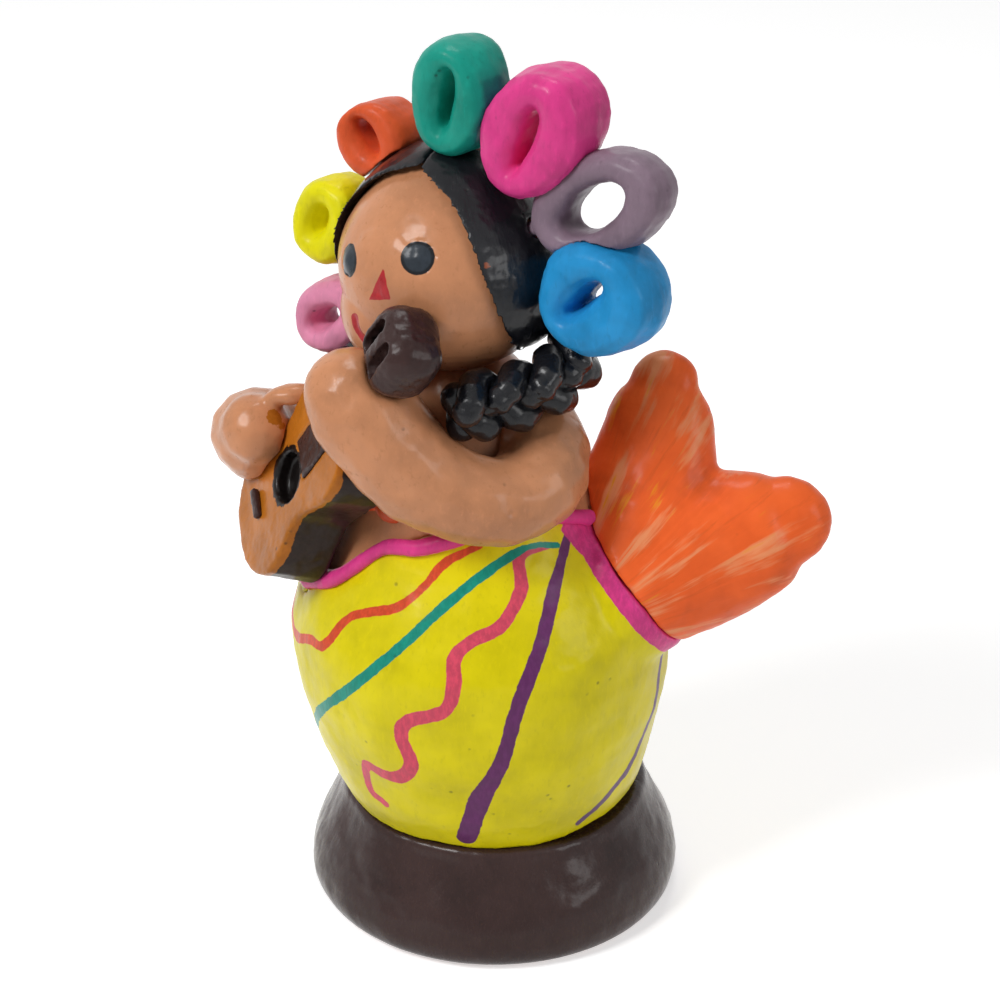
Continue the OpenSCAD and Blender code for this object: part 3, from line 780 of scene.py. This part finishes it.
class MERMAID_OT_hair(bpy.types.Operator):
    """Models the two sides of the hair and the six braid strands"""

    bl_idname = "clay_mermaid.hair"
    bl_label = "Hair and braids"

    def execute(self, context):
        centre = np.array(head_centre())
        worn = painted_clay(
            "black_hair_swept_gloss", colours().hair_black, rough=0.24, coat=0.8, relief=0.4, contrast=1.2, grain=True,
            patches=[("worn", BARE_CLAY, 0.1 * MM, 1.4 * MM)])
        for i, side in enumerate(("left", "right")):
            hair = clay_skin("hair_%s_worked" % side, ["hair_" + side], 0.4 * MM, 10)
            work_surface(hair, 10 + i, 0.8, fine=0.07 * MM)
            co = points_of(hair)
            off = co - centre
            turn = np.arctan2(off[:, 0], -off[:, 1])
            rise = np.arctan2(off[:, 2], np.hypot(off[:, 0], off[:, 1]))
            reach = np.linalg.norm(off, axis=1)
            keep_grain(hair, np.stack([turn * 8, rise * 1.3, reach * 80], axis=1))
            gap = np.full(len(co), 1.0)
            for place_turn, place_rise, radius in WORN_HAIR:
                spot = centre + np.array(facing(place_turn, place_rise)) * 20 * MM
                gap = np.minimum(gap, np.linalg.norm(co - spot, axis=1) - radius * MM)
            keep_mark(hair, "worn", gap)
            give(hair, worn, ["hair_" + side])
            for k in (1, 2, 3):
                node = "braid_%s_strand_%d" % (side, k)
                strand = clay_skin(node + "_worked", [node], 0.3 * MM, 3)
                swell(strand, settings().braid_fullness)
                work_surface(strand, 12 + 3 * i + k, 0.6)
                give(strand, hair_paint(), [node])
        return {"FINISHED"}


# Ribbon loops: node, material slot, finish name, name of its colour.
LOOPS = [
    ("loop_pink", "pink_clay", "pale_pink_gloss", "pink"),
    ("loop_yellow", "lemon_clay", "yellow_ribbon_gloss", "lemon"),
    ("loop_orange", "red_orange_clay", "red_orange_gloss", "red_orange"),
    ("loop_green", "green_clay", "sea_green_gloss", "green"),
    ("loop_magenta", "magenta_clay", "magenta_gloss", "magenta"),
    ("loop_mauve", "mauve_clay", "mauve_gloss", "mauve"),
    ("loop_blue", "blue_clay", "sky_blue_gloss", "blue"),
]


class MERMAID_OT_crown(bpy.types.Operator):
    """Models the seven ribbon loops of the crown"""

    bl_idname = "clay_mermaid.crown"
    bl_label = "Crown of ribbon loops"

    def execute(self, context):
        for i, (node, slot, finish, colour) in enumerate(LOOPS):
            loop = clay_skin(node + "_worked", [node], 0.4 * MM, 8)
            work_surface(loop, 20 + i, 1.6)
            mat = made_once(finish, getattr(colours(), colour), rough=0.42, coat=0.2, relief=0.16, contrast=0.7)
            give(loop, mat, [node])
        return {"FINISHED"}


class MERMAID_OT_arms(bpy.types.Operator):
    """Models the two rolled arms and the two shells"""

    bl_idname = "clay_mermaid.arms"
    bl_label = "Arms and shells"

    def execute(self, context):
        left = clay_skin("arm_left_worked", ["arm_left"], 0.45 * MM, 45)
        work_surface(left, 30, 1.2)
        # A stray bead of clay, and nail pricks and folds by the elbow.
        press(left, [((4.8, -31, 92.3), 1.0, 0.7), ((19.5, -21.7, 87), 0.7, -0.6), ((21.2, -19.3, 86.5), 0.6, -0.6),
                     ((17.5, -22.5, 84), 0.6, -0.5), ((-2, -36, 99), 1.2, -0.5)])
        give(left, skin_paint(), ["arm_left"])

        # The right fist has a torn flap for a thumb.
        right = clay_skin("arm_right_worked", ["arm_right"], 0.42 * MM, 30, [
            lump((-26.0, -22.6, 95.9), (2.6, 1.8, 4.2), (0.75, 0.6, 0.12)),
            lump((-24.0, -20.6, 96.3), (1.8, 1.3, 2.6), (0.75, 0.6, 0.12))])
        work_surface(right, 31, 1.2)
        co = points_of(right)
        flecks = [((-26.6, -25.8, 92.6), 1.5), ((-26.0, -25.2, 91.2), 1.1)]
        keep_mark(right, "ochre_fleck", np.min(
            [np.linalg.norm(co - np.array(p) * MM, axis=1) - r * MM for p, r in flecks], axis=0))
        give(right, painted_clay(
            "tan_fist_gloss", colours().tan, rough=0.3, coat=0.45, relief=0.12, contrast=0.5, bare_amount=0.005,
            streak=(200, 200, 120), patches=[("ochre_fleck", colours().ochre, 0.08 * MM, 1.6 * MM)]),
            ["arm_right"])

        straps = {"left": [lump((-9.0, -22.6, 80.4), (1.3, 1.0, 2.2), (1, 0.9, 0.1))], "right": []}
        for i, side in enumerate(("left", "right")):
            shell = clay_skin("shell_%s_worked" % side, ["shell_" + side], 0.28 * MM, 3, straps[side])
            work_surface(shell, 34 + i, 0.9)
            give(shell, bpy.data.materials["red_orange_gloss"], ["shell_" + side])
        return {"FINISHED"}


# In mm: the sound hole's place along the guitar from the fingerboard's end, and the radius of its ragged rim.
HOLE_AT = -5.0
HOLE_RIM = 5.2
# In mm: half the distance between the middles of the head's two slots, how deep and how wide each is pressed,
# the half width of the black painted shade in it, and the head left below and above it.
SLOT_APART = 2.4
SLOT_DEPTH = 1.3
SLOT_SPREAD = 0.9
SLOT_SHADE = 0.75
SLOT_ENDS = (3.8, 3.6)
# In mm: how far behind the middle plane of the fingerboard the slots reach.
SLOT_BACK = 1.6


def slot_distance(spot):
    """Distance of points on the guitar's head from the middle line of the nearer slot."""
    low, high = spot[:, 0].min() + SLOT_ENDS[0] * MM, spot[:, 0].max() - SLOT_ENDS[1] * MM
    beyond = np.maximum(np.maximum(low - spot[:, 0], spot[:, 0] - high), 0)
    beside = np.abs(np.abs(spot[:, 1]) - SLOT_APART * MM)
    behind = np.maximum(-SLOT_BACK * MM - spot[:, 2], 0)
    return np.sqrt(beyond**2 + beside**2 + behind**2)


class MERMAID_OT_guitar(bpy.types.Operator):
    """Models the guitar"""

    bl_idname = "clay_mermaid.guitar"
    bl_label = "Guitar"

    def execute(self, context):
        body = clay_skin("guitar_body_worked", ["guitar_body"], 0.36 * MM, 14)
        work_surface(body, 40, 0.7)
        spot = guitar_places(points_of(body))
        # The sides and the back are near black, and so is the ragged rim of the sound hole.
        keep_mark(body, "dark_side", spot[:, 2] + 1.1 * MM)
        hole = np.hypot(spot[:, 0] - HOLE_AT * MM, spot[:, 1])
        keep_mark(body, "hole", np.maximum(hole - HOLE_RIM * MM, -spot[:, 2] - 4 * MM))
        keep_grain(body, np.stack([spot[:, 0] * 160, spot[:, 1] * 500, spot[:, 2] * 300], axis=1))
        ochre = painted_clay(
            "ochre_guitar_gloss", colours().ochre, rough=0.34, coat=0.3, contrast=0.7, grain=True,
            patches=[("dark_side", "#2a1d1a", 0.1 * MM, 1.2 * MM), ("hole", "#120d0c", 0.1 * MM, 1.8 * MM)])
        give(body, ochre, ["guitar_body"])
        for i, part in enumerate(("fingerboard", "neck", "bridge")):
            node = "guitar_" + part
            piece = clay_skin(node + "_worked", [node], 0.26 * MM, 3)
            work_surface(piece, 41 + i, 0.5, fine=0.1 * MM)
            give(piece, brown_paint(), [node])

        # The head of the guitar is a lump of clay with two slots cut deep into its face.
        lump_head = clay_skin("guitar_head_worked", ["guitar_head"], 0.26 * MM, 10)
        work_surface(lump_head, 45, 1.1, fine=0.12 * MM)
        spot = guitar_places(points_of(lump_head))
        gap = slot_distance(spot)
        co, no = points_of(lump_head), normals_of(lump_head)
        sunk = SLOT_DEPTH * MM * np.exp(-((np.maximum(gap, 0) / (SLOT_SPREAD * MM)) ** 2))
        put_points(lump_head, co - no * sunk[:, None])
        # The near-black in each slot is painted shade deep in the pressed slot.
        keep_mark(lump_head, "slot", gap - SLOT_SHADE * MM)
        give(lump_head, painted_clay(
            "dark_brown_head_satin", colours().plinth_brown, rough=0.3, coat=0.3, relief=0.3,
            patches=[("slot", "#080606", 0.25 * MM, 0.5 * MM)]), ["guitar_head"])
        return {"FINISHED"}


def aim(obj, target):
    obj.rotation_euler = (Vector(target) - obj.location).to_track_quat("-Z", "Y").to_euler()


def soft_lamp(name, place, target, size, power):
    lamp = bpy.data.lights.new(name, "AREA")
    lamp.shape = "RECTANGLE"
    lamp.size, lamp.size_y = size
    lamp.energy = power
    obj = bpy.data.objects.new(name, lamp)
    bpy.context.scene.collection.objects.link(obj)
    obj.location = place
    aim(obj, target)


# The camera: degrees round from the front and up, its distance and the height it looks at in metres.
VIEW_TURN = math.radians(36)
VIEW_RISE = math.radians(27)
VIEW_DISTANCE = 0.48
VIEW_HEIGHT = 0.078
LENS = 101.7
SENSOR = 36
LENS_SHIFT = (0.0055, -0.018)
# How much light the room and the floor give: the world on the object, the world where it is seen, the floor's glow.
WORLD_LIGHT = 0.13
WORLD_SEEN = 1.0
FLOOR_GLOW = 0.55
FLOOR_HALF = 3.0
FLOOR_DROP = 0.0002
# Lamps: name, how far to the front, to the right and up in metres, size, power in watts.
LAMPS = [
    ("window", 0.35, -0.45, 0.55, (0.24, 0.3), 3.9),
    ("fill", 0.4, 0.6, 0.25, (0.3, 0.3), 1.2),
    ("top", -0.25, 0, 0.8, (0.26, 0.26), 1.75),
]


def seen_rays(tree):
    """One for rays that show the background itself: to the camera, in a reflection or through glass."""
    path = tree.nodes.new("ShaderNodeLightPath")
    seen = sums(tree, "MAXIMUM", path.outputs["Is Camera Ray"], path.outputs["Is Glossy Ray"])
    return sums(tree, "MAXIMUM", seen, path.outputs["Is Transmission Ray"])


class MERMAID_OT_stage(bpy.types.Operator):
    """Sets the pale floor, the soft lamps and the camera"""

    bl_idname = "clay_mermaid.stage"
    bl_label = "Stage, lamps and camera"

    def execute(self, context):
        scene = bpy.context.scene
        bm = bmesh.new()
        bmesh.ops.create_grid(bm, x_segments=1, y_segments=1, size=FLOOR_HALF)
        mesh = bpy.data.meshes.new("floor")
        bm.to_mesh(mesh)
        bm.free()
        floor = new_piece("floor", mesh)
        floor.location.z = -FLOOR_DROP
        mat = bpy.data.materials.new("pale_floor")
        mat.use_nodes = True
        tree = mat.node_tree
        shader = tree.nodes["Principled BSDF"]
        shader.inputs["Base Color"].default_value = linear("#f4f4f4") + [1]
        shader.inputs["Roughness"].default_value = 0.9
        # Seen straight or in a reflection, the floor is white paper, and it still takes the shadow.
        glow = tree.nodes.new("ShaderNodeEmission")
        glow.inputs["Color"].default_value = (1, 1, 1, 1)
        glow.inputs["Strength"].default_value = FLOOR_GLOW
        add = tree.nodes.new("ShaderNodeAddShader")
        pick = tree.nodes.new("ShaderNodeMixShader")
        tree.links.new(seen_rays(tree), pick.inputs[0])
        tree.links.new(shader.outputs[0], pick.inputs[1])
        tree.links.new(shader.outputs[0], add.inputs[0])
        tree.links.new(glow.outputs[0], add.inputs[1])
        tree.links.new(add.outputs[0], pick.inputs[2])
        out = tree.nodes["Material Output"]
        tree.links.new(pick.outputs[0], out.inputs["Surface"])
        floor.data.materials.append(mat)

        world = bpy.data.worlds.new("studio")
        scene.world = world
        world.use_nodes = True
        wt = world.node_tree
        back = wt.nodes["Background"]
        back.inputs["Color"].default_value = (1, 1, 1, 1)
        back.inputs["Strength"].default_value = WORLD_LIGHT
        white = wt.nodes.new("ShaderNodeBackground")
        white.inputs["Color"].default_value = (1, 1, 1, 1)
        white.inputs["Strength"].default_value = WORLD_SEEN
        wmix = wt.nodes.new("ShaderNodeMixShader")
        wt.links.new(seen_rays(wt), wmix.inputs[0])
        wt.links.new(back.outputs[0], wmix.inputs[1])
        wt.links.new(white.outputs[0], wmix.inputs[2])
        wt.links.new(wmix.outputs[0], wt.nodes["World Output"].inputs["Surface"])

        target = (0, 0, VIEW_HEIGHT)
        a, e = VIEW_TURN, VIEW_RISE
        right = Vector((math.cos(a), math.sin(a), 0))
        front = Vector((math.sin(a), -math.cos(a), 0))
        mid = Vector(target)
        for name, forward, sideways, up, size, power in LAMPS:
            soft_lamp(name, mid + front * forward + right * sideways + UP * up, target, size, power)

        cam = bpy.data.cameras.new("camera")
        cam.lens = LENS
        cam.sensor_width = SENSOR
        cam.shift_x, cam.shift_y = LENS_SHIFT
        cam.clip_start = 0.01
        eye = bpy.data.objects.new("camera", cam)
        scene.collection.objects.link(eye)
        back_dir = Vector((math.sin(a) * math.cos(e), -math.cos(a) * math.cos(e), math.sin(e)))
        eye.location = Vector(target) + back_dir * VIEW_DISTANCE
        aim(eye, target)
        scene.camera = eye
        scene.view_settings.view_transform = "Standard"
        return {"FINISHED"}


STEPS = (
    MERMAID_OT_trunk,
    MERMAID_OT_tail,
    MERMAID_OT_head,
    MERMAID_OT_hair,
    MERMAID_OT_crown,
    MERMAID_OT_arms,
    MERMAID_OT_guitar,
    MERMAID_OT_stage,
)


class MERMAID_PT_panel(bpy.types.Panel):
    """Lists the settings and the making steps"""

    bl_idname = "MERMAID_PT_panel"
    bl_label = "Clay mermaid"
    bl_space_type = "VIEW_3D"
    bl_region_type = "UI"
    bl_category = "Clay mermaid"

    def draw(self, context):
        for name in MermaidSettings.__annotations__:
            self.layout.prop(context.scene.clay_mermaid, name)
        for name in MermaidColours.__annotations__:
            self.layout.prop(context.scene.clay_mermaid_colours, name)
        for step in STEPS:
            self.layout.operator(step.bl_idname)


CLASSES = (MermaidSettings, MermaidColours) + STEPS + (MERMAID_PT_panel,)


def register():
    for cls in CLASSES:
        bpy.utils.register_class(cls)
    bpy.types.Scene.clay_mermaid = PointerProperty(type=MermaidSettings)
    bpy.types.Scene.clay_mermaid_colours = PointerProperty(type=MermaidColours)


def unregister():
    del bpy.types.Scene.clay_mermaid
    del bpy.types.Scene.clay_mermaid_colours
    for cls in reversed(CLASSES):
        bpy.utils.unregister_class(cls)


def main():
    register()
    for step in STEPS:
        group, name = step.bl_idname.split(".")
        getattr(getattr(bpy.ops, group), name)()


if __name__ == "__main__":
    main()
